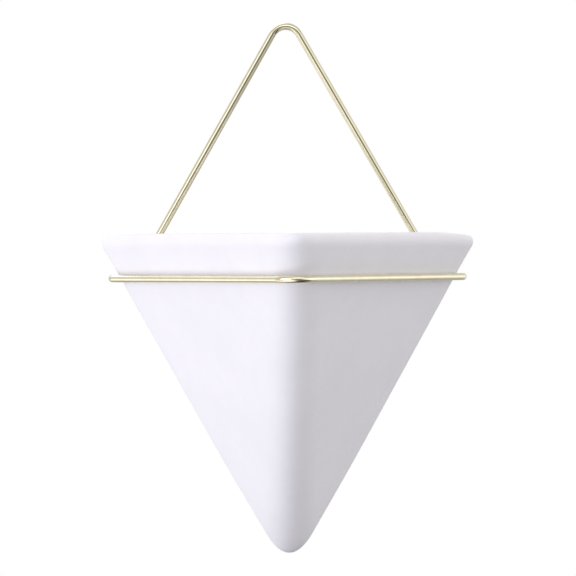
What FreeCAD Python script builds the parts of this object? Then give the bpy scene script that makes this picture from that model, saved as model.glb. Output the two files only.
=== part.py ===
import FreeCAD, Part
import os
import math
import Sketcher

# Wall-hanging planter: a three-sided ceramic pot that sits in a triangular wire
# hoop, hung from the wall by an inverted V of the same wire.
# Millimetres. Origin: the point inside the hanger's crown where a wall hook bears.
# +Z up, +Y to the wall, -Y to the room, X along the wall.

V = FreeCAD.Vector
doc = FreeCAD.newDocument("planter")

# ---------------------------------------------------------------- dimensions
sheet = doc.addObject("Spreadsheet::Sheet", "dims")
CELLS = [
    ("wire_diameter", 3.6),         # both wires
    ("crown_bend_radius", 7.6),     # hanger crown, at the wire's axis
    ("leg_half_angle", 29.8),       # hanger leg from the vertical, degrees
    ("foot_half_span", 76.3),       # leg axis from the middle, at the hoop's axis
    ("foot_lift", 2.6),             # level end of each foot above the hoop's axis
    ("hoop_bend_radius", 10.8),     # hoop corners, at the wire's axis
    ("hoop_drop", 22.3),            # hoop axis below the rim
    ("seam_width", 1.2),            # butt weld in the hoop's back bar
    ("seam_bulge", 0.12),           # how far that weld stands proud of the wire
    ("bead_half_length", 4.3),      # foot weld bead along the bar
    ("bead_half_height", 2.5),      # foot weld bead upwards
    ("bead_half_thickness", 1.7),   # foot weld bead towards the wall
    ("pot_back_gap", 0.4),          # pot's flat back to the back bar
    ("pot_front_gap", 0.3),         # pot's sloping faces to the hoop
    ("rim_side", 208.2),            # rim triangle before rounding
    ("pyramid_height", 185.2),      # rim to the point where the faces meet
    ("pot_edge_radius", 11.0),      # rounding of the three sloping edges and tip
    ("pot_wall", 7.0),              # wall thickness, square to each face
    ("cavity_edge_radius", 7.0),    # rounding of the cavity's edges and tip
    ("lip_outer_radius", 4.3),
    ("lip_inner_radius", 1.2),
]
for row, (name, value) in enumerate(CELLS, start=1):
    sheet.set("A%d" % row, name)
    sheet.set("B%d" % row, str(value))
    sheet.setAlias("B%d" % row, name)
doc.recompute()


def val(name):
    return float(sheet.get(name))


# ------------------------------------------------- derived sizes, as formulas
WIRE_R = "dims.wire_diameter / 2"
SIN_A = "sin(dims.leg_half_angle * 1 deg)"
COS_A = "cos(dims.leg_half_angle * 1 deg)"
TAN_A = "tan(dims.leg_half_angle * 1 deg)"
# depth of the hoop's axis, and of the rim, below the origin
HOOP_Z = ("(dims.foot_half_span / %s - dims.crown_bend_radius * (1 / %s - 1) - %s)"
          % (TAN_A, SIN_A, WIRE_R))
RIM_Z = "(%s - dims.hoop_drop)" % HOOP_Z
# flat back of the pot in front of the wire's axis
BACK_Y = "(%s + dims.pot_back_gap)" % WIRE_R
# lean of the two front faces: horizontal distance through the wall per millimetre
# of wall, from the face through the points (side/2,0,0), (0,side*h,0), (0,0,height)
LEAN = ("(sqrt((2 / dims.rim_side)^2 + (2 / (sqrt(3) * dims.rim_side))^2 + (1 / dims.pyramid_height)^2)"
        " / sqrt((2 / dims.rim_side)^2 + (2 / (sqrt(3) * dims.rim_side))^2))")
# cavity triangle at the rim and the depth where its faces meet
CAV_SIDE = "(dims.rim_side - 2 / sqrt(3) * (dims.pot_wall + 2 * dims.pot_wall * %s))" % LEAN
CAV_HEIGHT = "(%s * dims.pyramid_height / dims.rim_side)" % CAV_SIDE
# hoop triangle at the wire's axis: the pot's outline there, opened by wire and gaps
HOOP_SIDE = ("(dims.rim_side * (1 - dims.hoop_drop / dims.pyramid_height)"
             " + 2 / sqrt(3) * (%s + 2 * (%s + dims.pot_front_gap) * %s))" % (BACK_Y, WIRE_R, LEAN))

# the same sizes as plain numbers, to place the sketch geometry near its solution
wire_r = val("wire_diameter") / 2
ang = math.radians(val("leg_half_angle"))
hoop_z = (val("foot_half_span") / math.tan(ang)
          - val("crown_bend_radius") * (1 / math.sin(ang) - 1) - wire_r)
rim_z = hoop_z - val("hoop_drop")
back_y = wire_r + val("pot_back_gap")
S, H = val("rim_side"), val("pyramid_height")
na, nb, nc = 2 / S, 2 / (math.sqrt(3) * S), 1 / H
lean = math.sqrt(na * na + nb * nb + nc * nc) / math.sqrt(na * na + nb * nb)
cav_side = S - 2 / math.sqrt(3) * (val("pot_wall") + 2 * val("pot_wall") * lean)
cav_height = cav_side * H / S
hoop_side = (S * (1 - val("hoop_drop") / H)
             + 2 / math.sqrt(3) * (back_y + 2 * (wire_r + val("pot_front_gap")) * lean))


# ------------------------------------------------------------------- helpers
def new_body(label):
    body = doc.addObject("PartDesign::Body", label)
    body.Label = label
    return body


def origin_plane(body, role):
    for feature in body.Origin.OriginFeatures:
        if feature.Role == role:
            return feature
    raise RuntimeError("no plane " + role)


def new_sketch(body, name, role, offset_formula=None, offset=0.0):
    """A sketch on one of the body's own planes, shifted along the plane's normal."""
    sk = body.newObject("Sketcher::SketchObject", name)
    sk.AttachmentSupport = [(origin_plane(body, role), "")]
    sk.MapMode = "FlatFace"
    sk.AttachmentOffset = FreeCAD.Placement(V(0, 0, offset), FreeCAD.Rotation())
    if offset_formula:
        sk.setExpression("AttachmentOffset.Base.z", offset_formula)
    return sk


def con(sk, *args):
    return sk.addConstraint(Sketcher.Constraint(*args))


def bound(sk, name, formula, *args):
    """A dimension of the sketch, named and bound to the sheet."""
    i = sk.addConstraint(Sketcher.Constraint(*args))
    sk.renameConstraint(i, name)
    sk.setExpression("Constraints." + name, formula)
    return i


def triangle_sketch(body, name, z, z_formula, side, side_formula, back, back_formula):
    """Level triangle with equal sides; its back side is parallel to the wall."""
    sk = new_sketch(body, name, "XY_Plane", "-" + z_formula, -z)
    d = side * math.sqrt(3) / 2
    A, B, C = V(-side / 2, -back, 0), V(side / 2, -back, 0), V(0, -back - d, 0)
    sk.addGeometry([Part.LineSegment(A, B), Part.LineSegment(B, C), Part.LineSegment(C, A)], False)
    con(sk, "Coincident", 0, 2, 1, 1)
    con(sk, "Coincident", 1, 2, 2, 1)
    con(sk, "Coincident", 2, 2, 0, 1)
    con(sk, "Symmetric", 0, 1, 0, 2, -2)
    con(sk, "Equal", 0, 1)
    con(sk, "PointOnObject", 1, 2, -2)
    bound(sk, "side", side_formula, "DistanceX", 0, 1, 0, 2, side)
    bound(sk, "back", back_formula, "DistanceY", 0, 1, -1, 1, back)
    return sk


def point_sketch(body, name, z, z_formula, back, back_formula):
    """The point where three faces of a pyramid meet."""
    sk = new_sketch(body, name, "XY_Plane", "-" + z_formula, -z)
    sk.addGeometry(Part.Point(V(0, -back, 0)), False)
    con(sk, "PointOnObject", 0, 1, -2)
    bound(sk, "back", back_formula, "DistanceY", 0, 1, -1, 1, back)
    return sk


def edges_where(shape, test):
    names = ["Edge%d" % (i + 1) for i, e in enumerate(shape.Edges) if test(e)]
    if not names:
        raise RuntimeError("no edge found")
    return names


def ok(feature):
    doc.recompute()
    bad = [s for s in feature.State if s in ("Invalid", "Error")]
    if bad or feature.Shape.isNull() or not feature.Shape.isValid():
        raise RuntimeError("%s: %s" % (feature.Label, feature.State))
    return feature


def in_rim_plane(e):
    if e.Degenerated:
        return False
    return all(abs(p.z + rim_z) < 1e-4 for p in e.discretize(5))


def cavity_rim(e):
    # level edges in the rim plane that bound the cavity, not the lip's outer rounding
    if not in_rim_plane(e):
        return False
    p = e.valueAt((e.FirstParameter + e.LastParameter) / 2)
    cy = -cav_back - cav_side * math.sqrt(3) / 6
    inside = [-p.y - cav_back]
    for side in (-1, 1):
        # distance inside each front side of the cavity triangle
        n = V(side * math.cos(math.radians(30)), -math.sin(math.radians(30)), 0)
        inside.append(cav_side / (2 * math.sqrt(3)) - (p.x * n.x + (p.y - cy) * n.y))
    return min(inside) > -1e-3


# --------------------------------------------------------------- ceramic pot
pot = new_body("ceramic_pot")
rim_outer = triangle_sketch(pot, "rim_outer", rim_z, RIM_Z, S, "dims.rim_side", back_y, BACK_Y)
tip_outer = point_sketch(pot, "tip_outer", rim_z + H, "(%s + dims.pyramid_height)" % RIM_Z, back_y, BACK_Y)
outer = pot.newObject("PartDesign::AdditiveLoft", "pot_outside")
outer.Profile = rim_outer
outer.Sections = [(tip_outer, ["Vertex1"])]
outer.Ruled = True
ok(outer)

# the cavity has faces parallel to the outside, one wall further in
CAV_BACK = "(%s + dims.pot_wall)" % BACK_Y
cav_back = back_y + val("pot_wall")
rim_inner = triangle_sketch(pot, "rim_inner", rim_z, RIM_Z, cav_side, CAV_SIDE, cav_back, CAV_BACK)
tip_inner = point_sketch(pot, "tip_inner", rim_z + cav_height, "(%s + %s)" % (RIM_Z, CAV_HEIGHT),
                         cav_back, CAV_BACK)
cavity = pot.newObject("PartDesign::SubtractiveLoft", "pot_cavity")
cavity.Profile = rim_inner
cavity.Sections = [(tip_inner, ["Vertex1"])]
cavity.Ruled = True
ok(cavity)

cav_tip = V(0, -cav_back, -(rim_z + cav_height))
cavity_round = pot.newObject("PartDesign::Fillet", "cavity_edge_rounding")
cavity_round.Base = (cavity, edges_where(
    cavity.Shape, lambda e: any(v.Point.distanceToPoint(cav_tip) < 1e-3 for v in e.Vertexes)))
cavity_round.Radius = val("cavity_edge_radius")
cavity_round.setExpression("Radius", "dims.cavity_edge_radius")
ok(cavity_round)

tip_z = -(rim_z + H)
edge_round = pot.newObject("PartDesign::Fillet", "pot_edge_rounding")
edge_round.Base = (cavity_round, edges_where(
    cavity_round.Shape, lambda e: min(v.Z for v in e.Vertexes) < tip_z + 1e-4))
edge_round.Radius = val("pot_edge_radius")
edge_round.setExpression("Radius", "dims.pot_edge_radius")
ok(edge_round)

lip_outer = pot.newObject("PartDesign::Fillet", "lip_outer_rounding")
lip_outer.Base = (edge_round, edges_where(
    edge_round.Shape, lambda e: in_rim_plane(e) and not cavity_rim(e)))
lip_outer.Radius = val("lip_outer_radius")
lip_outer.setExpression("Radius", "dims.lip_outer_radius")
ok(lip_outer)

lip_inner = pot.newObject("PartDesign::Fillet", "lip_inner_rounding")
lip_inner.Base = (lip_outer, edges_where(lip_outer.Shape, cavity_rim))
lip_inner.Radius = val("lip_inner_radius")
lip_inner.setExpression("Radius", "dims.lip_inner_radius")
ok(lip_inner)
pot.Tip = lip_inner

# ----------------------------------------------------------------- hoop wire
hoop = new_body("hoop_wire")
rb = val("hoop_bend_radius")
half_gap = val("seam_width") / 2
path = new_sketch(hoop, "hoop_path", "XY_Plane", "-" + HOOP_Z, -hoop_z)
depth = hoop_side * math.sqrt(3) / 2
tl = rb * math.sqrt(3)          # corner to tangent point, for a 60 degree corner
A, B, C = V(-hoop_side / 2, 0, 0), V(hoop_side / 2, 0, 0), V(0, -depth, 0)


def toward(p, q, d):
    u = q.sub(p)
    u.normalize()
    return p + u * d


cB = toward(B, V(0, -depth / 3, 0), 2 * rb)
cC = toward(C, V(0, -depth / 3, 0), 2 * rb)
cA = toward(A, V(0, -depth / 3, 0), 2 * rb)


def corner_arc(p, c, before, after):
    a, b = toward(p, before, tl), toward(p, after, tl)
    m = toward(c, p, rb)
    return Part.Arc(a, m, b)


path.addGeometry([
    Part.LineSegment(V(half_gap, 0, 0), toward(B, A, tl)),      # 0 right half of the back bar
    corner_arc(B, cB, A, C),                                     # 1 right corner
    Part.LineSegment(toward(B, C, tl), toward(C, B, tl)),        # 2 right front bar
    corner_arc(C, cC, B, A),                                     # 3 front corner
    Part.LineSegment(toward(C, A, tl), toward(A, C, tl)),        # 4 left front bar
    corner_arc(A, cA, C, B),                                     # 5 left corner
    Part.LineSegment(toward(A, B, tl), V(-half_gap, 0, 0)),      # 6 left half of the back bar
], False)


def arc_ends(sk, g, first, last):
    """Which end of arc g is near each of two points."""
    s = sk.getPoint(g, 1)
    return (1, 2) if s.distanceToPoint(first) < s.distanceToPoint(last) else (2, 1)


e1 = arc_ends(path, 1, toward(B, A, tl), toward(B, C, tl))
e3 = arc_ends(path, 3, toward(C, B, tl), toward(C, A, tl))
e5 = arc_ends(path, 5, toward(A, C, tl), toward(A, B, tl))
con(path, "Tangent", 0, 2, 1, e1[0])
con(path, "Tangent", 1, e1[1], 2, 1)
con(path, "Tangent", 2, 2, 3, e3[0])
con(path, "Tangent", 3, e3[1], 4, 1)
con(path, "Tangent", 4, 2, 5, e5[0])
con(path, "Tangent", 5, e5[1], 6, 1)
con(path, "Symmetric", 0, 1, 6, 2, -2)
con(path, "PointOnObject", 0, 1, -1)
con(path, "Horizontal", 0)
con(path, "Horizontal", 6)
con(path, "Equal", 1, 3)
con(path, "Equal", 1, 5)
con(path, "Equal", 2, 4)
con(path, "PointOnObject", 3, 3, -2)
bound(path, "bend", "dims.hoop_bend_radius", "Radius", 1, rb)
bound(path, "gap", "dims.seam_width", "DistanceX", 6, 2, 0, 1, 2 * half_gap)
bound(path, "front_length", "(%s - 2 * sqrt(3) * dims.hoop_bend_radius)" % HOOP_SIDE, "Distance", 2, 1, 2, 2,
      hoop_side - 2 * tl)
bound(path, "back_length", "(%s / 2 - sqrt(3) * dims.hoop_bend_radius)" % HOOP_SIDE, "DistanceX", -1, 1, 0, 2,
      hoop_side / 2 - tl)

section = new_sketch(hoop, "hoop_section", "YZ_Plane", "dims.seam_width / 2", half_gap)
section.addGeometry(Part.Circle(V(0, -hoop_z, 0), V(0, 0, 1), wire_r), False)
con(section, "PointOnObject", 0, 3, -2)
bound(section, "level", HOOP_Z, "DistanceY", 0, 3, -1, 1, hoop_z)
bound(section, "wire", "dims.wire_diameter", "Diameter", 0, 2 * wire_r)
doc.recompute()
hoop_sweep = hoop.newObject("PartDesign::AdditivePipe", "hoop_sweep")
hoop_sweep.Profile = section
hoop_sweep.Spine = path
ok(hoop_sweep)
hoop.Tip = hoop_sweep

# --------------------------------------------------------------- hanger wire
hanger = new_body("hanger_wire")
rc = val("crown_bend_radius")
leg_path = new_sketch(hanger, "leg_path", "XZ_Plane")
crown = V(0, wire_r, 0)
centre = V(0, wire_r - rc, 0)
t_end = V(rc * math.cos(ang), wire_r - rc + rc * math.sin(ang), 0)
mid = V(rc * math.sin((math.pi / 2 - ang) / 2), wire_r - rc + rc * math.cos((math.pi / 2 - ang) / 2), 0)
foot = V(val("foot_half_span"), -hoop_z, 0)
leg_path.addGeometry([Part.Arc(crown, mid, t_end), Part.LineSegment(t_end, foot)], False)
a0 = arc_ends(leg_path, 0, crown, t_end)
con(leg_path, "Tangent", 0, a0[1], 1, 1)
con(leg_path, "PointOnObject", 0, 3, -2)
con(leg_path, "PointOnObject", 0, a0[0], -2)
bound(leg_path, "bend", "dims.crown_bend_radius", "Radius", 0, rc)
bound(leg_path, "crown", WIRE_R, "DistanceY", -1, 1, 0, a0[0], wire_r)
bound(leg_path, "span", "dims.foot_half_span", "DistanceX", -1, 1, 1, 2, foot.x)
bound(leg_path, "drop", HOOP_Z, "DistanceY", 1, 2, -1, 1, hoop_z)
leg_section = new_sketch(hanger, "leg_section", "YZ_Plane")
leg_section.addGeometry(Part.Circle(V(0, wire_r, 0), V(0, 0, 1), wire_r), False)
con(leg_section, "PointOnObject", 0, 3, -2)
bound(leg_section, "level", WIRE_R, "DistanceY", -1, 1, 0, 3, wire_r)
bound(leg_section, "wire", "dims.wire_diameter", "Diameter", 0, 2 * wire_r)
doc.recompute()
leg = hanger.newObject("PartDesign::AdditivePipe", "right_half")
leg.Profile = leg_section
leg.Spine = leg_path
ok(leg)

# each foot ends level, a little above the hoop's back bar
trim = new_sketch(hanger, "foot_trim", "XZ_Plane")
w0, w1, z1 = val("foot_half_span") - 12, val("foot_half_span") + 12, -hoop_z + val("foot_lift")
z0 = -hoop_z - 8
P = [V(w0, z0, 0), V(w1, z0, 0), V(w1, z1, 0), V(w0, z1, 0)]
trim.addGeometry([Part.LineSegment(P[i], P[(i + 1) % 4]) for i in range(4)], False)
for i in range(4):
    con(trim, "Coincident", i, 2, (i + 1) % 4, 1)
con(trim, "Horizontal", 0)
con(trim, "Horizontal", 2)
con(trim, "Vertical", 1)
con(trim, "Vertical", 3)
bound(trim, "near", "dims.foot_half_span - 4 * dims.wire_diameter", "DistanceX", -1, 1, 0, 1, w0)
bound(trim, "far", "dims.foot_half_span + 4 * dims.wire_diameter", "DistanceX", -1, 1, 0, 2, w1)
bound(trim, "low", "(%s + 8)" % HOOP_Z, "DistanceY", 0, 1, -1, 1, -z0)
bound(trim, "level", "(%s - dims.foot_lift)" % HOOP_Z, "DistanceY", 2, 1, -1, 1, -z1)
doc.recompute()
before = leg.Shape.Volume
foot_cut = hanger.newObject("PartDesign::Pocket", "foot_cut")
foot_cut.Profile = trim
foot_cut.Midplane = True
foot_cut.Length = 4 * val("wire_diameter")
foot_cut.setExpression("Length", "4 * dims.wire_diameter")
ok(foot_cut)
if not before - 60 < foot_cut.Shape.Volume < before - 5:
    raise RuntimeError("foot cut removed %.1f" % (before - foot_cut.Shape.Volume))

both = hanger.newObject("PartDesign::Mirrored", "both_halves")
both.Originals = [leg, foot_cut]
both.MirrorPlane = (origin_plane(hanger, "YZ_Plane"), [""])
hanger.Tip = both
ok(both)

# ------------------------------------------------------------ hoop seam weld
seam = new_body("hoop_seam_weld")
bulge = val("seam_bulge")
bead = new_sketch(seam, "seam_profile", "XZ_Plane")
bz = -hoop_z
q = [V(-half_gap, bz, 0), V(half_gap, bz, 0), V(half_gap, bz + wire_r, 0), V(-half_gap, bz + wire_r, 0)]
bead.addGeometry([
    Part.LineSegment(q[0], q[1]),
    Part.LineSegment(q[1], q[2]),
    Part.Arc(q[2], V(0, bz + wire_r + bulge, 0), q[3]),
    Part.LineSegment(q[3], q[0]),
], False)
ea = arc_ends(bead, 2, q[2], q[3])
con(bead, "Coincident", 0, 2, 1, 1)
con(bead, "Coincident", 1, 2, 2, ea[0])
con(bead, "Coincident", 2, ea[1], 3, 1)
con(bead, "Coincident", 3, 2, 0, 1)
con(bead, "Vertical", 1)
con(bead, "Vertical", 3)
con(bead, "Symmetric", 0, 1, 0, 2, -2)
con(bead, "PointOnObject", 2, 3, -2)
bound(bead, "width", "dims.seam_width", "DistanceX", 0, 1, 0, 2, 2 * half_gap)
bound(bead, "level", HOOP_Z, "DistanceY", 0, 1, -1, 1, hoop_z)
bound(bead, "wire", WIRE_R, "DistanceY", 1, 1, 1, 2, wire_r)
bound(bead, "crest", "((dims.seam_width / 2)^2 + dims.seam_bulge^2) / (2 * dims.seam_bulge)", "Radius", 2,
      (half_gap ** 2 + bulge ** 2) / (2 * bulge))
doc.recompute()
turned = seam.newObject("PartDesign::Revolution", "seam_bead")
turned.Profile = bead
turned.ReferenceAxis = (bead, ["Edge1"])
turned.Angle = 360.0
ok(turned)
seam.Tip = turned

# ------------------------------------------------------------ hanger welds
# a bead round each foot, fitted to the bar below it and to the foot above it
welds = []
for label, sign in (("left_foot_weld", -1), ("right_foot_weld", 1)):
    blob = doc.addObject("Part::Ellipsoid", label + "_bead")
    blob.Radius1 = val("bead_half_height")
    blob.Radius2 = val("bead_half_length")
    blob.Radius3 = val("bead_half_thickness")
    blob.setExpression("Radius1", "dims.bead_half_height")
    blob.setExpression("Radius2", "dims.bead_half_length")
    blob.setExpression("Radius3", "dims.bead_half_thickness")
    blob.Angle1, blob.Angle2, blob.Angle3 = -90.0, 90.0, 360.0
    blob.setExpression("Placement.Base.x", "%d * (dims.foot_half_span - %s * %s)" % (sign, WIRE_R, TAN_A))
    blob.setExpression("Placement.Base.z", "-%s + %s" % (HOOP_Z, WIRE_R))
    on_bar = doc.addObject("Part::Cut", label + "_on_bar")
    on_bar.Base = blob
    on_bar.Tool = hoop
    weld = doc.addObject("Part::Cut", label)
    weld.Label = label
    weld.Base = on_bar
    weld.Tool = hanger
    ok(weld)
    welds.append(weld)

# -------------------------------------------------------------------- export
nodes = [pot, hoop, hanger, seam] + welds
doc.recompute()
for obj in doc.Objects:
    if "Invalid" in obj.State or "Error" in obj.State:
        raise RuntimeError("%s: %s" % (obj.Label, obj.State))
os.makedirs("parts", exist_ok=True)
for node in nodes:
    shape = node.Shape
    if shape.isNull() or not shape.isValid() or not shape.Solids:
        raise RuntimeError("bad shape: " + node.Label)
    shape.exportStep("parts/" + node.Label + ".step")
    box = shape.BoundBox
    print("%-16s solids %d  volume %9.1f  x %.2f..%.2f  y %.2f..%.2f  z %.2f..%.2f" % (
        node.Label, len(shape.Solids), shape.Volume,
        box.XMin, box.XMax, box.YMin, box.YMax, box.ZMin, box.ZMax))
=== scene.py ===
import math

import bpy
import numpy as np
from mathutils import Matrix, Vector


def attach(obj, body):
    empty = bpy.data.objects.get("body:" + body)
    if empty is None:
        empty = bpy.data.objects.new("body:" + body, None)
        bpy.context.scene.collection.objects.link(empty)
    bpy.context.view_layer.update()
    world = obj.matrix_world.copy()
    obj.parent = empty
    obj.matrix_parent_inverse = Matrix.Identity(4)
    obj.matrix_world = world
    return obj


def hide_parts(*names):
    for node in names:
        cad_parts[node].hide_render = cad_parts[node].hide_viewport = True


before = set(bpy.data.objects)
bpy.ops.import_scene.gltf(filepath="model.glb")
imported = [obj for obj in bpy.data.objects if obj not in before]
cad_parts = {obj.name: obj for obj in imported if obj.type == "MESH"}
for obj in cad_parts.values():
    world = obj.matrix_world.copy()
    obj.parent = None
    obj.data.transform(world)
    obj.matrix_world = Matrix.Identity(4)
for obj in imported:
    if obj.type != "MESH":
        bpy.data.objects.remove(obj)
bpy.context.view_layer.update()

scene = bpy.context.scene
MM = 0.001

# ---------------------------------------------------------------------------
# Dimensions in millimetres, the same as the construction's
# ---------------------------------------------------------------------------
RIM_Z = -101.435         # top of the pot's rim
BACK_Y = -2.2            # flat back of the pot
RIM_SIDE = 208.2         # side of the sharp rim triangle
PYRAMID = 185.2          # height of the sharp pyramid under the rim
CAVITY_BACK_Y = -9.2
CAVITY_SIDE = 182.14
CAVITY_DEPTH = 162.02
LIP_FALL = 6.8           # height of the lip's rounding, room side
LIP_IN = 1.3             # rounding of the lip, cavity side

WIRE_R = 1.8
HOOP_Z = -123.735
HOOP_SIDE = 191.065      # centreline triangle, sharp
HOOP_BEND = 10.8
CROWN_R = 7.6
CROWN_Z = -5.8           # centre of the crown's arc
LEG_ANGLE = math.radians(29.8)
FOOT_X = 76.3
FOOT_END_Z = -121.135


# ---------------------------------------------------------------------------
# Small helpers
# ---------------------------------------------------------------------------
def smooth01(x):
    x = np.clip(x, 0.0, 1.0)
    return x * x * (3.0 - 2.0 * x)


def unit(v):
    return v / np.linalg.norm(v, axis=-1, keepdims=True)


def mesh_piece(name, verts, faces, body, replaces=(), attributes=None):
    """verts in millimetres; attributes: name -> (type, array per vertex)."""
    me = bpy.data.meshes.new(name)
    me.from_pydata((np.asarray(verts) * MM).tolist(), [], faces)
    me.polygons.foreach_set("use_smooth", np.ones(len(me.polygons), dtype=bool))
    for key, (kind, values) in (attributes or {}).items():
        layer = me.attributes.new(key, kind, "POINT")
        field = "vector" if kind == "FLOAT_VECTOR" else "value"
        layer.data.foreach_set(field, np.asarray(values, np.float32).ravel())
    me.validate()
    me.update()
    ob = bpy.data.objects.new(name, me)
    scene.collection.objects.link(ob)
    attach(ob, body)
    if replaces:
        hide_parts(*replaces)
    return ob


def ring_faces(rows, around, first=0, closed_rows=False):
    """Quads between successive closed rings of vertices."""
    faces = []
    for i in range(rows if closed_rows else rows - 1):
        a = first + i * around
        b = first + ((i + 1) % rows) * around
        for j in range(around):
            k = (j + 1) % around
            faces.append((a + j, a + k, b + k, b + j))
    return faces


# ---------------------------------------------------------------------------
# Pot: a three-sided pyramid, tip down, flat back, soft edges and lip
# ---------------------------------------------------------------------------
def pyramid_planes(side, back_y, depth):
    apex = np.array([0.0, back_y, RIM_Z - depth])
    front = np.array([0.0, back_y - side * math.sqrt(3) / 2, RIM_Z])
    right = np.array([side / 2, back_y, RIM_Z])
    n = np.cross(front - apex, right - apex)
    n = n / np.linalg.norm(n)
    if n[0] < 0:
        n = -n
    normals = np.stack([np.array([0.0, 1.0, 0.0]), n, n * np.array([-1.0, 1.0, 1.0])])
    return normals, normals @ apex


class SoftPyramid:
    """Closed form whose edges and tip are blended over the width r."""

    def __init__(self, side, back_y, depth, r_top, r_edge, r_tip, tip_from, tip_to, q):
        self.n, self.c = pyramid_planes(side, back_y, depth)
        self.r_top, self.r_edge, self.r_tip = r_top, r_edge, r_tip
        self.tip_from, self.tip_to = tip_from, tip_to
        self.q = q

    def radius(self, p):
        k = smooth01((self.tip_from - p[..., 2]) / (self.tip_from - self.tip_to))
        top = np.clip(1 - (RIM_Z - p[..., 2]) / 110.0, 0, 1)
        return self.r_edge + self.r_top * top + (self.r_tip - self.r_edge) * k

    def value(self, p):
        r = self.radius(p)
        u = np.maximum(p @ self.n.T - self.c + r[..., None], 0.0)
        return (u ** self.q).sum(-1) ** (1.0 / self.q) - r

    def cast(self, origin, direction, reach=150.0):
        lo = np.zeros(direction.shape[:-1])
        hi = np.full(direction.shape[:-1], reach)
        for _ in range(44):
            mid = (lo + hi) / 2
            inside = self.value(origin + mid[..., None] * direction) < 0
            lo = np.where(inside, mid, lo)
            hi = np.where(inside, hi, mid)
        return origin + ((lo + hi) / 2)[..., None] * direction

    def normal(self, p):
        e = 0.02
        g = [self.value(p + e * d) - self.value(p - e * d) for d in np.eye(3)]
        return unit(np.stack(g, -1))


OUTER = SoftPyramid(RIM_SIDE, BACK_Y, PYRAMID, 1.75, 20.1, 21.8, RIM_Z - 110, RIM_Z - 158, 2.5)
INNER = SoftPyramid(CAVITY_SIDE, CAVITY_BACK_Y, CAVITY_DEPTH, 0.0, 14.0, 17.0, RIM_Z - 90, RIM_Z - 145, 2.4)


def axis_point(z):
    """Middle of the triangular section at a height."""
    inradius = RIM_SIDE / (2 * math.sqrt(3)) * (z - (RIM_Z - PYRAMID)) / PYRAMID
    z = np.asarray(z, float)
    return np.stack([np.zeros_like(z), BACK_Y - inradius, z], -1)


def section_angles(count):
    """Directions round the section, closer together at its three corners."""
    fine = np.linspace(-math.pi, math.pi, 20001)
    density = np.ones_like(fine)
    for corner in (-math.pi / 2, math.pi / 6, math.pi * 5 / 6):
        gap = (fine - corner + math.pi) % (2 * math.pi) - math.pi
        density += 2.6 * np.exp(-((gap / 0.17) ** 2))
    total = np.concatenate([[0.0], np.cumsum((density[1:] + density[:-1]) / 2)])
    total /= total[-1]
    return np.interp(np.arange(count) / count, total, fine)


AROUND = 384
THETA = section_angles(AROUND)
FLAT = np.stack([np.cos(THETA), np.sin(THETA), np.zeros(AROUND)], -1)


def rear_sag(p):
    """How far the rim has settled near its two rear corners, in millimetres."""
    out = np.zeros(len(p))
    for x, amount in ((92.0, 1.7), (-92.0, 1.6)):
        away = np.hypot(p[:, 0] - x, p[:, 1] + 9.0)
        out += amount * np.clip(1 - away / 44.0, 0, 1) ** 1.25
    return out


def wall_ring(form, depth):
    z = RIM_Z - depth
    o = axis_point(z)
    p = form.cast(np.broadcast_to(o, (AROUND, 3)), FLAT)
    n = form.normal(p)
    n[:, 2] = 0
    return p, unit(n)


def tip_rings(form, depth, steps):
    """Rings from a level section down to the closed tip."""
    o = axis_point(RIM_Z - depth)
    rings = []
    for i in range(1, steps):
        phi = math.pi / 2 * i / steps
        d = FLAT * math.cos(phi) + np.array([0, 0, -math.sin(phi)])
        rings.append(form.cast(np.broadcast_to(o, (AROUND, 3)), d))
    pole = form.cast(o[None, :], np.array([[0.0, 0.0, -1.0]]))[0]
    return rings, pole


def casting_wave(p):
    """The slight unevenness of a slip-cast wall, in millimetres, inwards only."""
    x, y, z = (p[..., i] for i in range(3))
    w = (np.sin(0.047 * x + 0.031 * z + 0.7) + np.sin(0.058 * z - 0.036 * y + 2.1)
         + np.sin(0.041 * y + 0.052 * x - 0.026 * z + 4.0))
    return 0.035 * (3.0 + w)


def draw_in(d):
    """The wall stands in a little between the hoop and the lip."""
    return 0.3 * float(smooth01((34.0 - d) / 26.0))


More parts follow.
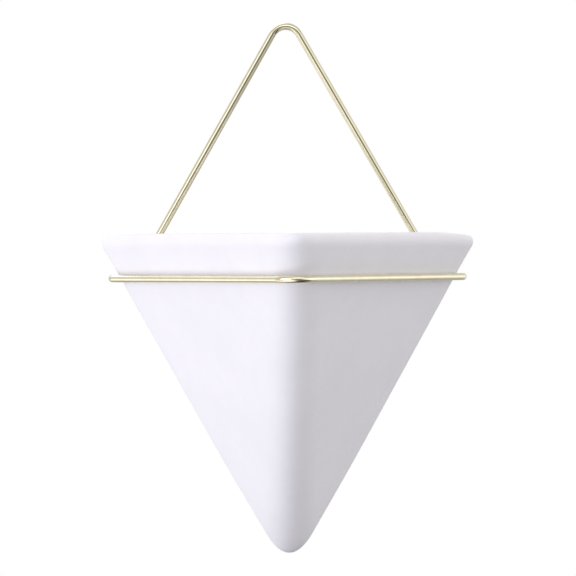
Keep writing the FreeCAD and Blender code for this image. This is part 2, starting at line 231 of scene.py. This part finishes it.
def build_pot():
    rings, inside = [], []

    # outside, from the tip up
    tip_d = 137.2
    low, pole_out = tip_rings(OUTER, tip_d, 34)
    for r in reversed(low):
        n = OUTER.normal(r)
        rings.append(r - n * (0.3 * casting_wave(r))[:, None])
        inside.append(0.0)
    depths = np.concatenate([np.linspace(tip_d, 30, 54), np.linspace(28, LIP_FALL + 0.8, 14)])
    for d in depths:
        p, n = wall_ring(OUTER, d)
        rings.append(p - n * (casting_wave(p) * 0.3 + draw_in(d))[:, None])
        inside.append(0.0)
    # rounding of the lip, as wide as the wall leaves room for
    p_in, n_in = wall_ring(INNER, 0.0)
    p_out, n_out = wall_ring(OUTER, 0.0)
    wall = ((p_out - p_in) * n_out).sum(-1)
    reach = np.clip(wall - LIP_IN - 0.35, 3.0, 6.9)
    for a in np.linspace(0.0, math.pi / 2, 19):
        d = LIP_FALL * (1 - math.sin(a))
        p, n = wall_ring(OUTER, d)
        inset = reach * (1 - math.cos(a)) + draw_in(d) * math.cos(a)
        rings.append(p - n * (inset + 0.3 * casting_wave(p) * math.cos(a))[:, None])
        inside.append(0.0)
    lip_outer = rings[-1]
    # inner edge of the lip and the cavity wall
    inner_rows = []
    for a in np.linspace(math.pi / 2, 0.0, 9):
        d = LIP_IN * (1 - math.sin(a))
        p, n = wall_ring(INNER, d)
        inner_rows.append(p + n * LIP_IN * (1 - math.cos(a)))
    lip_inner = inner_rows[0]
    for k in np.linspace(0, 1, 4)[1:-1]:
        rings.append(lip_outer * (1 - k) + lip_inner * k)
        inside.append(0.25 * k)
    for i, row in enumerate(inner_rows):
        rings.append(row)
        inside.append(0.25 + 0.5 * i / (len(inner_rows) - 1))
    in_tip_d = 126.0
    for d in np.concatenate([np.linspace(2.2, 14, 8), np.linspace(16, in_tip_d, 44)]):
        p, n = wall_ring(INNER, d)
        rings.append(p + n * casting_wave(p + 40.0)[:, None])
        inside.append(1.0)
    low, pole_in = tip_rings(INNER, in_tip_d, 26)
    for r in low:
        rings.append(r)
        inside.append(1.0)

    # the rim sags a little towards the two rear corners
    for r in rings:
        k = np.clip(1 - (RIM_Z - r[:, 2]) / 26.0, 0, 1) ** 1.5
        r[:, 2] -= rear_sag(r) * k

    rows = len(rings)
    verts = np.concatenate([np.concatenate(rings), pole_out[None], pole_in[None]])
    faces = ring_faces(rows, AROUND)
    po, pi_ = rows * AROUND, rows * AROUND + 1
    for j in range(AROUND):
        k = (j + 1) % AROUND
        faces.append((po, k, j))
        faces.append((pi_, (rows - 1) * AROUND + j, (rows - 1) * AROUND + k))
    mask = np.concatenate([np.repeat(np.array(inside), AROUND), [0.0, 1.0]])
    return mesh_piece("planter_pot", verts, faces, "pot", ("ceramic_pot",),
                      {"glazed": ("FLOAT", mask)})


# ---------------------------------------------------------------------------
# Wires: round tubes along straight runs and bends, each in one plane
# ---------------------------------------------------------------------------
TUBE = 40


def run(a, b, step=3.0):
    n = max(2, int(np.linalg.norm(b - a) / step) + 1)
    t = np.linspace(0, 1, n)
    return a + (b - a) * t[:, None]


def arc(centre, e1, e2, a0, a1, step=math.radians(3.0)):
    n = max(3, int(abs(a1 - a0) / step) + 1)
    t = np.linspace(a0, a1, n)[:, None]
    return centre + np.cos(t) * e1 + np.sin(t) * e2


def join(*parts):
    out = [parts[0]]
    for p in parts[1:]:
        out.append(p[1:])
    return np.concatenate(out)


def sweep(path, up, bend_radius):
    """Rings of a drawn wire along a plane path; it flattens a little where it is bent."""
    d = np.gradient(path, axis=0)
    seg = np.linalg.norm(np.diff(path, axis=0), axis=1)
    along = np.concatenate([[0], np.cumsum(seg)])
    t = unit(d)
    t[0], t[-1] = unit(path[1] - path[0]), unit(path[-1] - path[-2])
    side = unit(np.cross(t, up))
    turn = np.zeros(len(path))
    turn[1:-1] = np.linalg.norm(np.diff(unit(np.diff(path, axis=0)), axis=0), axis=1) / ((seg[1:] + seg[:-1]) / 2)
    for _ in range(3):
        turn[1:-1] = (turn[:-2] + 2 * turn[1:-1] + turn[2:]) / 4
    bent = np.clip(turn * bend_radius, 0, 1)
    ang = np.arange(TUBE) / TUBE * 2 * math.pi
    rings, coord = [], []
    for i, p in enumerate(path):
        rs = WIRE_R * (1 - 0.022 * bent[i])
        ru = WIRE_R * (1 - 0.004 * bent[i])
        rings.append(p + rs * np.cos(ang)[:, None] * side[i] + ru * np.sin(ang)[:, None] * up)
        coord.append(np.stack([np.full(TUBE, along[i]), WIRE_R * np.cos(ang), WIRE_R * np.sin(ang)], -1))
    return rings, coord, t


def capped_tube(rings, coord):
    """Closed tube; each end is closed flat with a smaller ring and a centre point, as a cropped wire."""
    rows = len(rings)
    verts = np.concatenate(rings)
    faces = ring_faces(rows, TUBE)
    coords = np.concatenate(coord)
    extra, extra_c = [], []
    base = rows * TUBE
    for end, ring, c in ((0, rings[0], coord[0]), (1, rings[-1], coord[-1])):
        mid = ring.mean(0)
        small = mid + (ring - mid) * 0.55
        start = base + len(extra)
        extra += list(small) + [mid]
        extra_c += list(c * np.array([1, 0.55, 0.55])) + [c.mean(0)]
        ring0 = 0 if end == 0 else (rows - 1) * TUBE
        for j in range(TUBE):
            k = (j + 1) % TUBE
            if end == 0:
                faces.append((ring0 + k, ring0 + j, start + j, start + k))
                faces.append((start + k, start + j, start + TUBE))
            else:
                faces.append((ring0 + j, ring0 + k, start + k, start + j))
                faces.append((start + j, start + k, start + TUBE))
    return np.concatenate([verts, np.array(extra)]), faces, np.concatenate([coords, np.array(extra_c)])


def build_hoop():
    z = HOOP_Z
    s = HOOP_SIDE
    vr, vl, vf = np.array([s / 2, 0, z]), np.array([-s / 2, 0, z]), np.array([0, -s * math.sqrt(3) / 2, z])
    cut = HOOP_BEND / math.tan(math.radians(30))
    up = np.array([0.0, 0.0, 1.0])

    def corner(v, a, b):
        """Bend at vertex v, arriving from a and leaving to b."""
        da, db = unit(a - v), unit(b - v)
        centre = v + unit(da + db) * HOOP_BEND / math.sin(math.radians(30))
        p0, p1 = v + da * cut, v + db * cut
        e1 = (p0 - centre) / HOOP_BEND
        e2 = unit((p1 - centre) / HOOP_BEND - e1 * ((p1 - centre) / HOOP_BEND @ e1))
        sweep_angle = math.acos(np.clip(e1 @ ((p1 - centre) / HOOP_BEND), -1, 1))
        return p0, p1, arc(centre, e1 * HOOP_BEND, e2 * HOOP_BEND, 0.0, sweep_angle)

    gap = 0.6
    start, end = np.array([gap, 0, z]), np.array([-gap, 0, z])
    r0, r1, r_arc = corner(vr, start, vf)
    f0, f1, f_arc = corner(vf, vr, vl)
    l0, l1, l_arc = corner(vl, vf, end)
    path = join(run(start, r0), r_arc, run(r1, f0), f_arc, run(f1, l0), l_arc, run(l1, end))
    rings, coord, t = sweep(path, up, HOOP_BEND)
    v, f, c = capped_tube(rings, coord)
    return mesh_piece("hoop", v, f, "wire_frame", ("hoop_wire",),
                      {"wire": ("FLOAT_VECTOR", c * MM)})


def build_hanger():
    up = np.array([0.0, -1.0, 0.0])
    c = np.array([0.0, 0.0, CROWN_Z])
    a = LEG_ANGLE
    right_top = c + CROWN_R * np.array([math.cos(a), 0, math.sin(a)])
    right_foot = np.array([FOOT_X, 0, HOOP_Z])
    leg = unit(right_foot - right_top)
    right_end = right_top + leg * ((FOOT_END_Z - right_top[2]) / leg[2])
    mirror = np.array([-1.0, 1.0, 1.0])
    e1, e2 = np.array([CROWN_R, 0, 0]), np.array([0, 0, CROWN_R])
    crown = arc(c, e1, e2, math.pi - a, a)
    path = join(run(right_end * mirror, right_top * mirror), crown, run(right_top, right_end))
    rings, coord, t = sweep(path, up, CROWN_R)
    # both feet are cut level
    for i in (0, -1):
        d = t[i]
        rings[i] = rings[i] + d * ((FOOT_END_Z - rings[i][:, 2]) / d[2])[:, None]
    v, f, cc = capped_tube(rings, coord)
    return mesh_piece("hanger", v, f, "wire_frame", ("hanger_wire",),
                      {"wire": ("FLOAT_VECTOR", cc * MM)})


def build_seam():
    """Butt weld that closes the hoop: a low ring, rippled where the metal set."""
    rows, around = 15, 64
    ang = np.arange(around) / around * 2 * math.pi
    rings = []
    for i in range(rows):
        k = -1 + 2 * i / (rows - 1)
        x = 1.0 * k + 0.05 * np.sin(5 * ang + 1.3) * (1 - abs(k))
        rise = 0.115 * (1 - k * k) ** 0.8 - 0.03 * k * k
        r = WIRE_R + rise * (0.86 + 0.14 * np.cos(9 * ang + 0.6 + 2 * k))
        rings.append(np.stack([x, r * np.cos(ang), HOOP_Z + r * np.sin(ang)], -1))
    inner = [np.stack([np.full(around, x), 1.1 * np.cos(ang), HOOP_Z + 1.1 * np.sin(ang)], -1) for x in (0.5, -0.5)]
    allr = rings + inner
    verts = np.concatenate(allr)
    return mesh_piece("seam_weld", verts, ring_faces(len(allr), around, closed_rows=True), "wire_frame",
                      ("hoop_seam_weld",))


def build_foot_weld(sign, name, node):
    """Fillet of weld metal where a hanger leg stands on the back bar."""
    foot = np.array([FOOT_X, 0, HOOP_Z])
    top = np.array([0, 0, CROWN_Z]) + CROWN_R * np.array([math.cos(LEG_ANGLE), 0, math.sin(LEG_ANGLE)])
    leg = unit(top - foot)
    bar = np.array([1.0, 0, 0])
    centre = np.array([75.27, 0, -121.75])
    half = np.array([4.7, 1.9, 2.75])

    def tube(p, a, d, r):
        w = p - a
        w = w - (w @ d)[..., None] * d
        return np.linalg.norm(w, axis=-1) - r

    def field(p):
        a = tube(p, foot, bar, WIRE_R - 0.06)
        b = tube(p, foot, leg, WIRE_R - 0.06)
        k = 1.8
        h = np.clip(0.5 + 0.5 * (b - a) / k, 0, 1)
        fillet = b * (1 - h) + a * h - k * h * (1 - h)
        egg = (np.linalg.norm((p - centre) / half, axis=-1) - 1) * 1.6
        k2 = 0.5
        h2 = np.clip(0.5 - 0.5 * (egg - fillet) / k2, 0, 1)
        ripple = 0.035 * np.sin(3.1 * p[..., 0] + 1.7 * p[..., 2]) * np.sin(2.3 * p[..., 1] + 2.0 * p[..., 2] + 0.5)
        return egg * (1 - h2) + fillet * h2 + k2 * h2 * (1 - h2) + ripple

    rows, around = 40, 72
    rings = []
    ang = np.arange(around) / around * 2 * math.pi
    for i in range(1, rows):
        th = math.pi * i / rows
        d = np.stack([np.full(around, math.cos(th)), math.sin(th) * np.cos(ang), math.sin(th) * np.sin(ang)], -1)
        lo, hi = np.zeros(around), np.full(around, 7.0)
        for _ in range(36):
            mid = (lo + hi) / 2
            ins = field(centre + mid[:, None] * d) < 0
            lo, hi = np.where(ins, mid, lo), np.where(ins, hi, mid)
        rings.append(centre + ((lo + hi) / 2)[:, None] * d)
    ends = []
    for d in (np.array([1.0, 0, 0]), np.array([-1.0, 0, 0])):
        lo, hi = 0.0, 7.0
        for _ in range(36):
            mid = (lo + hi) / 2
            if field((centre + mid * d)[None])[0] < 0:
                lo = mid
            else:
                hi = mid
        ends.append(centre + (lo + hi) / 2 * d)
    n = len(rings)
    verts = np.concatenate([np.concatenate(rings), np.array(ends)])
    faces = ring_faces(n, around)
    for j in range(around):
        k = (j + 1) % around
        faces.append((n * around, k, j))
        faces.append((n * around + 1, (n - 1) * around + j, (n - 1) * around + k))
    if sign < 0:
        verts = verts * np.array([-1.0, 1.0, 1.0])
        faces = [tuple(reversed(f)) for f in faces]
    return mesh_piece(name, verts, faces, "wire_frame", (node,))


pot = build_pot()
hoop = build_hoop()
hanger = build_hanger()
seam = build_seam()
weld_l = build_foot_weld(-1, "left_foot_bead", "left_foot_weld")
weld_r = build_foot_weld(1, "right_foot_bead", "right_foot_weld")


# ---------------------------------------------------------------------------
# Normals outwards
# ---------------------------------------------------------------------------
def face_outwards(ob):
    me = ob.data
    n = len(me.vertices)
    co = np.zeros(n * 3)
    me.vertices.foreach_get("co", co)
    co = co.reshape(-1, 3)
    me.calc_loop_triangles()
    tri = np.zeros(len(me.loop_triangles) * 3, np.int32)
    me.loop_triangles.foreach_get("vertices", tri)
    a, b, c = (co[tri.reshape(-1, 3)[:, i]] for i in range(3))
    if (np.cross(a, b) * c).sum() < 0:
        me.flip_normals()
        me.update()


for piece in (pot, hoop, hanger, seam, weld_l, weld_r):
    face_outwards(piece)


# ---------------------------------------------------------------------------
# Materials
# ---------------------------------------------------------------------------
class Nodes:
    def __init__(self, name):
        self.mat = bpy.data.materials.new(name)
        self.mat.use_nodes = True
        self.tree = self.mat.node_tree
        self.tree.nodes.clear()
        self.out = self.tree.nodes.new("ShaderNodeOutputMaterial")
        self.bsdf = self.tree.nodes.new("ShaderNodeBsdfPrincipled")
        self.link(self.bsdf.outputs[0], self.out.inputs[0])

    def link(self, a, b):
        self.tree.links.new(a, b)

    def add(self, kind, **values):
        node = self.tree.nodes.new(kind)
        for k, v in values.items():
            setattr(node, k, v)
        return node

    def noise(self, vector, scale, detail=3.0, rough=0.5, distortion=0.0):
        n = self.add("ShaderNodeTexNoise")
        n.inputs["Scale"].default_value = scale
        n.inputs["Detail"].default_value = detail
        n.inputs["Roughness"].default_value = rough
        n.inputs["Distortion"].default_value = distortion
        self.link(vector, n.inputs["Vector"])
        return n.outputs["Fac"]

    def remap(self, value, a, b, c, d, kind="SMOOTHSTEP"):
        n = self.add("ShaderNodeMapRange", interpolation_type=kind)
        self.link(value, n.inputs["Value"])
        for key, v in (("From Min", a), ("From Max", b), ("To Min", c), ("To Max", d)):
            n.inputs[key].default_value = v
        return n.outputs["Result"]

    def math(self, op, a, b):
        n = self.add("ShaderNodeMath", operation=op)
        for i, v in enumerate((a, b)):
            if isinstance(v, (int, float)):
                n.inputs[i].default_value = v
            else:
                self.link(v, n.inputs[i])
        return n.outputs[0]

    def mix(self, fac, a, b):
        n = self.add("ShaderNodeMix", data_type="RGBA")
        if isinstance(fac, (int, float)):
            n.inputs[0].default_value = fac
        else:
            self.link(fac, n.inputs[0])
        for i, v in ((6, a), (7, b)):
            if isinstance(v, tuple):
                n.inputs[i].default_value = (*v, 1.0)
            else:
                self.link(v, n.inputs[i])
        return n.outputs[2]

    def mix_value(self, fac, a, b):
        n = self.add("ShaderNodeMix", data_type="FLOAT")
        self.link(fac, n.inputs[0])
        for i, v in ((2, a), (3, b)):
            if isinstance(v, (int, float)):
                n.inputs[i].default_value = v
            else:
                self.link(v, n.inputs[i])
        return n.outputs[0]

    def bump(self, height, distance, strength=1.0, normal=None):
        n = self.add("ShaderNodeBump")
        n.inputs["Strength"].default_value = strength
        n.inputs["Distance"].default_value = distance
        self.link(height, n.inputs["Height"])
        if normal is not None:
            self.link(normal, n.inputs["Normal"])
        return n.outputs["Normal"]


def ceramic_material():
    m = Nodes("matte_ceramic")
    at = m.add("ShaderNodeTexCoord").outputs["Object"]
    glazed = m.add("ShaderNodeAttribute", attribute_name="glazed").outputs["Fac"]
    cloud = m.noise(at, 38.0, 3.0, 0.55)          # broad, faint clouding of the body
    mottle = m.noise(at, 260.0, 4.0, 0.6)         # a few millimetres
    grain = m.noise(at, 1900.0, 3.0, 0.6)         # fired grain, half a millimetre
    peel = m.noise(at, 420.0, 2.0, 0.5)           # sprayed slip, soft dimples
    # pin holes: sparse cells, dented by a bump below and darkened in colour as painted shade inside the holes
    cell = m.add("ShaderNodeTexVoronoi", feature="F1")
    cell.inputs["Scale"].default_value = 210.0
    cell.inputs["Randomness"].default_value = 1.0
    m.link(at, cell.inputs["Vector"])
    sparse = m.remap(m.noise(at, 95.0, 1.0), 0.57, 0.66, 0.0, 1.0)
    pin = m.math("MULTIPLY", m.remap(cell.outputs["Distance"], 0.03, 0.075, 1.0, 0.0), sparse)
    # the glaze line wanders a little on the inner lip
    line = m.math("ADD", glazed, m.remap(mottle, 0.3, 0.7, -0.06, 0.06, "LINEAR"))
    inside = m.remap(line, 0.42, 0.5, 0.0, 1.0)

    body = m.mix(m.remap(cloud, 0.32, 0.68, 0.0, 1.0), (0.880, 0.861, 0.889), (0.904, 0.884, 0.912))
    body = m.mix(m.remap(mottle, 0.35, 0.75, 0.0, 0.35), body, (0.872, 0.853, 0.880))
    # painted shade: the pin holes are darkened towards a warm grey in the base colour
    body = m.mix(m.math("MULTIPLY", pin, 0.35), body, (0.60, 0.56, 0.52))
    glaze = m.mix(m.remap(cloud, 0.3, 0.7, 0.0, 1.0), (0.905, 0.895, 0.885), (0.925, 0.918, 0.915))
    m.link(m.mix(inside, body, glaze), m.bsdf.inputs["Base Color"])

    matte = m.remap(m.math("ADD", m.math("MULTIPLY", grain, 0.5), m.math("MULTIPLY", mottle, 0.5)),
                    0.3, 0.7, 0.52, 0.66, "LINEAR")
    satin = m.remap(peel, 0.3, 0.7, 0.27, 0.36, "LINEAR")
    m.link(m.mix_value(inside, matte, satin), m.bsdf.inputs["Roughness"])

    fine = m.math("MULTIPLY", grain, m.remap(inside, 0.0, 1.0, 1.0, 0.05, "LINEAR"))
    n1 = m.bump(fine, 0.00012, 0.55)
    dimple = m.math("MULTIPLY", peel, m.remap(inside, 0.0, 1.0, 1.0, 0.07, "LINEAR"))
    n2 = m.bump(dimple, 0.00022, 0.5, n1)
    n3 = m.bump(m.math("MULTIPLY", pin, -1.0), 0.00035, 0.6, n2)
    m.link(n3, m.bsdf.inputs["Normal"])
    m.bsdf.inputs["IOR"].default_value = 1.5
    return m.mat


def wire_material(name, low, high, rough_low, rough_high):
    m = Nodes(name)
    at = m.add("ShaderNodeAttribute", attribute_name="wire").outputs["Vector"]
    stretch = m.add("ShaderNodeMapping")
    stretch.inputs["Scale"].default_value = (0.035, 1.0, 1.0)
    m.link(at, stretch.inputs["Vector"])
    drawn = m.noise(stretch.outputs["Vector"], 5200.0, 4.0, 0.65)      # fine die lines
    drift = m.noise(stretch.outputs["Vector"], 900.0, 2.0, 0.5)
    patch = m.noise(at, 130.0, 3.0, 0.55)                              # plating tone
    smear = m.noise(at, 700.0, 3.0, 0.6)                               # handling marks
    tone = m.mix(m.remap(patch, 0.32, 0.68, 0.0, 1.0), low, high)
    tone = m.mix(m.remap(drift, 0.45, 0.75, 0.0, 0.22), tone, tuple(0.86 * v for v in low))
    m.link(tone, m.bsdf.inputs["Base Color"])
    m.bsdf.inputs["Metallic"].default_value = 1.0
    rough = m.remap(m.math("ADD", m.math("MULTIPLY", drawn, 0.6), m.math("MULTIPLY", smear, 0.4)),
                    0.32, 0.70, rough_low, rough_high, "LINEAR")
    m.link(rough, m.bsdf.inputs["Roughness"])
    n1 = m.bump(drawn, 0.00001, 0.25)
    n2 = m.bump(smear, 0.00002, 0.15, n1)
    m.link(n2, m.bsdf.inputs["Normal"])
    return m.mat


def weld_material():
    m = Nodes("plated_weld_metal")
    at = m.add("ShaderNodeTexCoord").outputs["Object"]
    broad = m.noise(at, 420.0, 3.0, 0.6)
    fine = m.noise(at, 2600.0, 4.0, 0.6)
    tone = m.mix(m.remap(broad, 0.3, 0.7, 0.0, 1.0), (0.70, 0.60, 0.37), (0.84, 0.76, 0.55))
    tone = m.mix(m.remap(fine, 0.55, 0.75, 0.0, 0.4), tone, (0.50, 0.40, 0.24))
    m.link(tone, m.bsdf.inputs["Base Color"])
    m.bsdf.inputs["Metallic"].default_value = 1.0
    m.link(m.remap(fine, 0.3, 0.7, 0.22, 0.42, "LINEAR"), m.bsdf.inputs["Roughness"])
    n1 = m.bump(broad, 0.00025, 0.5)
    n2 = m.bump(fine, 0.00006, 0.5, n1)
    m.link(n2, m.bsdf.inputs["Normal"])
    return m.mat


ceramic = ceramic_material()
brass = wire_material("pale_brass_plate", (0.815, 0.757, 0.532), (0.860, 0.802, 0.580), 0.13, 0.20)
weld = weld_material()
pot.data.materials.append(ceramic)
for ob in (hoop, hanger):
    ob.data.materials.append(brass)
for ob in (seam, weld_l, weld_r):
    ob.data.materials.append(weld)


# ---------------------------------------------------------------------------
# Floor
# ---------------------------------------------------------------------------
def build_floor(z=-1.2, radius=0.32):
    rows, around = 24, 96
    ang = np.arange(around) / around * 2 * math.pi
    verts = [np.array([[0.0, 0.0, z]])]
    for i in range(1, rows + 1):
        r = radius * i / rows
        verts.append(np.stack([r * np.cos(ang), r * np.sin(ang), np.full(around, z)], -1))
    faces = [(0, 1 + j, 1 + (j + 1) % around) for j in range(around)]
    faces += [tuple(reversed(f)) for f in ring_faces(rows, around, first=1)]
    me = bpy.data.meshes.new("floor")
    me.from_pydata(np.concatenate(verts).tolist(), [], faces)
    for p in me.polygons:
        p.use_smooth = True
    me.update()
    ob = bpy.data.objects.new("floor", me)
    scene.collection.objects.link(ob)
    m = Nodes("pale_floor")
    at = m.add("ShaderNodeTexCoord").outputs["Object"]
    soft = m.noise(at, 6.0, 3.0, 0.5)
    m.link(m.mix(m.remap(soft, 0.3, 0.7, 0.0, 1.0), (0.80, 0.80, 0.80), (0.83, 0.83, 0.83)), m.bsdf.inputs["Base Color"])
    m.link(m.remap(m.noise(at, 60.0, 2.0), 0.3, 0.7, 0.75, 0.85, "LINEAR"), m.bsdf.inputs["Roughness"])
    # the edge of the floor melts into the backdrop
    length = m.add("ShaderNodeVectorMath", operation="LENGTH")
    flat = m.add("ShaderNodeVectorMath", operation="MULTIPLY")
    flat.inputs[1].default_value = (1, 1, 0)
    m.link(at, flat.inputs[0])
    m.link(flat.outputs[0], length.inputs[0])
    m.link(m.remap(length.outputs["Value"], 0.10, radius - 0.02, 1.0, 0.0), m.bsdf.inputs["Alpha"])
    me.materials.append(m.mat)
    return ob


build_floor()


def build_under_card(centre=(0.005, -0.072, -0.42), radius=0.120):
    """Dark card below the picture that keeps the light from the ground off the tip; the camera does not see it."""
    around = 64
    ang = np.arange(around) / around * 2 * math.pi
    ring = np.stack([centre[0] + radius * np.cos(ang), centre[1] + radius * np.sin(ang), np.full(around, centre[2])], -1)
    me = bpy.data.meshes.new("under_card")
    me.from_pydata(ring.tolist(), [], [tuple(range(around))])
    me.update()
    ob = bpy.data.objects.new("under_card", me)
    scene.collection.objects.link(ob)
    m = Nodes("dark_card")
    at = m.add("ShaderNodeTexCoord").outputs["Object"]
    felt = m.noise(at, 300.0, 3.0)
    m.link(m.mix(felt, (0.03, 0.03, 0.03), (0.05, 0.05, 0.05)), m.bsdf.inputs["Base Color"])
    m.link(m.remap(felt, 0.3, 0.7, 0.85, 0.95, "LINEAR"), m.bsdf.inputs["Roughness"])
    me.materials.append(m.mat)
    ob.visible_camera = False
    return ob


build_under_card()


# ---------------------------------------------------------------------------
# Light: a white studio, brighter on the left, with the dark end of the room
# behind the camera
# ---------------------------------------------------------------------------
def build_world():
    w = bpy.data.worlds.new("studio")
    scene.world = w
    w.use_nodes = True
    t = w.node_tree
    t.nodes.clear()
    out = t.nodes.new("ShaderNodeOutputWorld")
    way = t.nodes.new("ShaderNodeTexCoord").outputs["Generated"]

    def toward(azimuth, elevation):
        a, e = math.radians(azimuth), math.radians(elevation)
        return (math.sin(a) * math.cos(e), -math.cos(a) * math.cos(e), math.sin(e))

    def dot(v):
        n = t.nodes.new("ShaderNodeVectorMath")
        n.operation = "DOT_PRODUCT"
        n.inputs[1].default_value = v
        t.links.new(way, n.inputs[0])
        return n.outputs["Value"]

    def op(kind, a, b):
        n = t.nodes.new("ShaderNodeMath")
        n.operation = kind
        for i, v in enumerate((a, b)):
            if isinstance(v, (int, float)):
                n.inputs[i].default_value = v
            else:
                t.links.new(v, n.inputs[i])
        return n.outputs[0]

    def ramp(v, a, b, c, d):
        n = t.nodes.new("ShaderNodeMapRange")
        n.interpolation_type = "SMOOTHSTEP"
        t.links.new(v, n.inputs["Value"])
        for key, x in (("From Min", a), ("From Max", b), ("To Min", c), ("To Max", d)):
            n.inputs[key].default_value = x
        return n.outputs["Result"]

    def card(azimuth, elevation, half_width, half_height, tilt, soft):
        """1 inside an oval patch of the surroundings, 0 outside it."""
        a, e, c = math.radians(azimuth), math.radians(elevation), math.radians(tilt)
        right = Vector((math.cos(a), math.sin(a), 0.0))
        upward = Vector((-math.sin(a) * math.sin(e), math.cos(a) * math.sin(e), math.cos(e)))
        across = dot((right * math.cos(c) + upward * math.sin(c)) / half_width)
        along = dot((upward * math.cos(c) - right * math.sin(c)) / half_height)
        q = op("SQRT", op("ADD", op("MULTIPLY", across, across), op("MULTIPLY", along, along)), 0.0)
        return op("MULTIPLY", ramp(q, 1.0 - soft, 1.0 + soft, 1.0, 0.0), ramp(dot(toward(azimuth, elevation)), 0.0, 0.2, 0.0, 1.0))

    def background(colour, strength):
        n = t.nodes.new("ShaderNodeBackground")
        n.inputs["Color"].default_value = (*colour, 1.0)
        if isinstance(strength, (int, float)):
            n.inputs["Strength"].default_value = strength
        else:
            t.links.new(strength, n.inputs["Strength"])
        return n.outputs[0]

    # room: a pale backdrop over a dim ground behind, a dimmer room in front
    behind = ramp(dot((0, 0, 1)), -0.40, -0.22, BACK_LOW, BACK_HIGH)
    share = ramp(dot((0, 1, 0)), -0.3, 0.3, 0.0, 1.0)
    room = op("ADD", op("MULTIPLY", FRONT, op("SUBTRACT", 1.0, share)), op("MULTIPLY", behind, share))
    # soft boxes and bounce boards round the object
    for strength, shape in BOARDS:
        room = op("ADD", room, op("MULTIPLY", card(*shape), strength))
    # two dark cards give the wire its dark lines: beside the camera, and low on the right
    for dark, shape in (CARD_BY_CAMERA, CARD_LOW):
        room = op("MULTIPLY", room, op("SUBTRACT", 1.0, op("MULTIPLY", card(*shape), dark)))
    # soft box at the left front
    key = op("MULTIPLY", card(*KEY_SHAPE), KEY)
    lit = t.nodes.new("ShaderNodeAddShader")
    t.links.new(background(ROOM_TINT, room), lit.inputs[0])
    t.links.new(background(KEY_TINT, key), lit.inputs[1])
    # seen directly, the backdrop is plain white
    pick = t.nodes.new("ShaderNodeMixShader")
    seen = t.nodes.new("ShaderNodeLightPath").outputs["Is Camera Ray"]
    t.links.new(seen, pick.inputs[0])
    t.links.new(lit.outputs[0], pick.inputs[1])
    t.links.new(background((1, 1, 1), 1.0), pick.inputs[2])
    t.links.new(pick.outputs[0], out.inputs["Surface"])


FRONT = 0.59
BACK_LOW, BACK_HIGH = 0.445, 0.701
ROOM_TINT = (1.022, 1.020, 1.042)
BOARDS = (
    (1.95, (10.0, 33.0, 0.42, 0.18, 0.0, 0.8)),          # above the camera
    (2.328, (-154.9, 43.8, 0.304, 0.304, 0.0, 0.8)),     # high behind, left
    (1.07, (75.0, 6.0, 0.75, 0.28, 0.0, 0.8)),           # right side
    (0.38, (-124.0, -17.0, 0.30, 0.14, 0.0, 0.6)),       # left side, behind
    (0.921, (-42.8, -53.9, 0.95, 0.319, 0.0, 0.8)),      # pale ground, left
)
CARD_BY_CAMERA = (0.90, (15.0, -1.0, 0.45, 0.35, -25.0, 0.9))
CARD_LOW = (0.98, (44.0, -51.0, 0.55, 0.43, 0.0, 0.2))
KEY, KEY_SHAPE = 2.88, (-46.5, 1.9, 0.355, 0.305, 0.0, 0.7)
KEY_TINT = (0.985, 0.985, 1.140)
build_world()


# ---------------------------------------------------------------------------
# Camera
# ---------------------------------------------------------------------------
def build_camera(distance=4.2, eye_z=-0.100, yaw=-1.6, roll=0.35, aim=(0.0004, 0.0, -0.129), width=0.288):
    data = bpy.data.cameras.new("camera")
    data.sensor_width = 36.0
    data.lens = 36.0 * distance / width
    data.clip_start, data.clip_end = 0.1, 60.0
    cam = bpy.data.objects.new("camera", data)
    scene.collection.objects.link(cam)
    a = math.radians(yaw)
    place = Vector((math.sin(a) * distance, -math.cos(a) * distance, eye_z))
    look = (Vector(aim) - place).to_track_quat("-Z", "Y")
    cam.matrix_world = Matrix.Translation(place) @ look.to_matrix().to_4x4() @ Matrix.Rotation(math.radians(-roll), 4, "Z")
    scene.camera = cam


build_camera()

scene.view_settings.view_transform = "Standard"
scene.view_settings.look = "None"
scene.view_settings.exposure = 0.0
scene.view_settings.gamma = 1.0

bpy.context.view_layer.update()
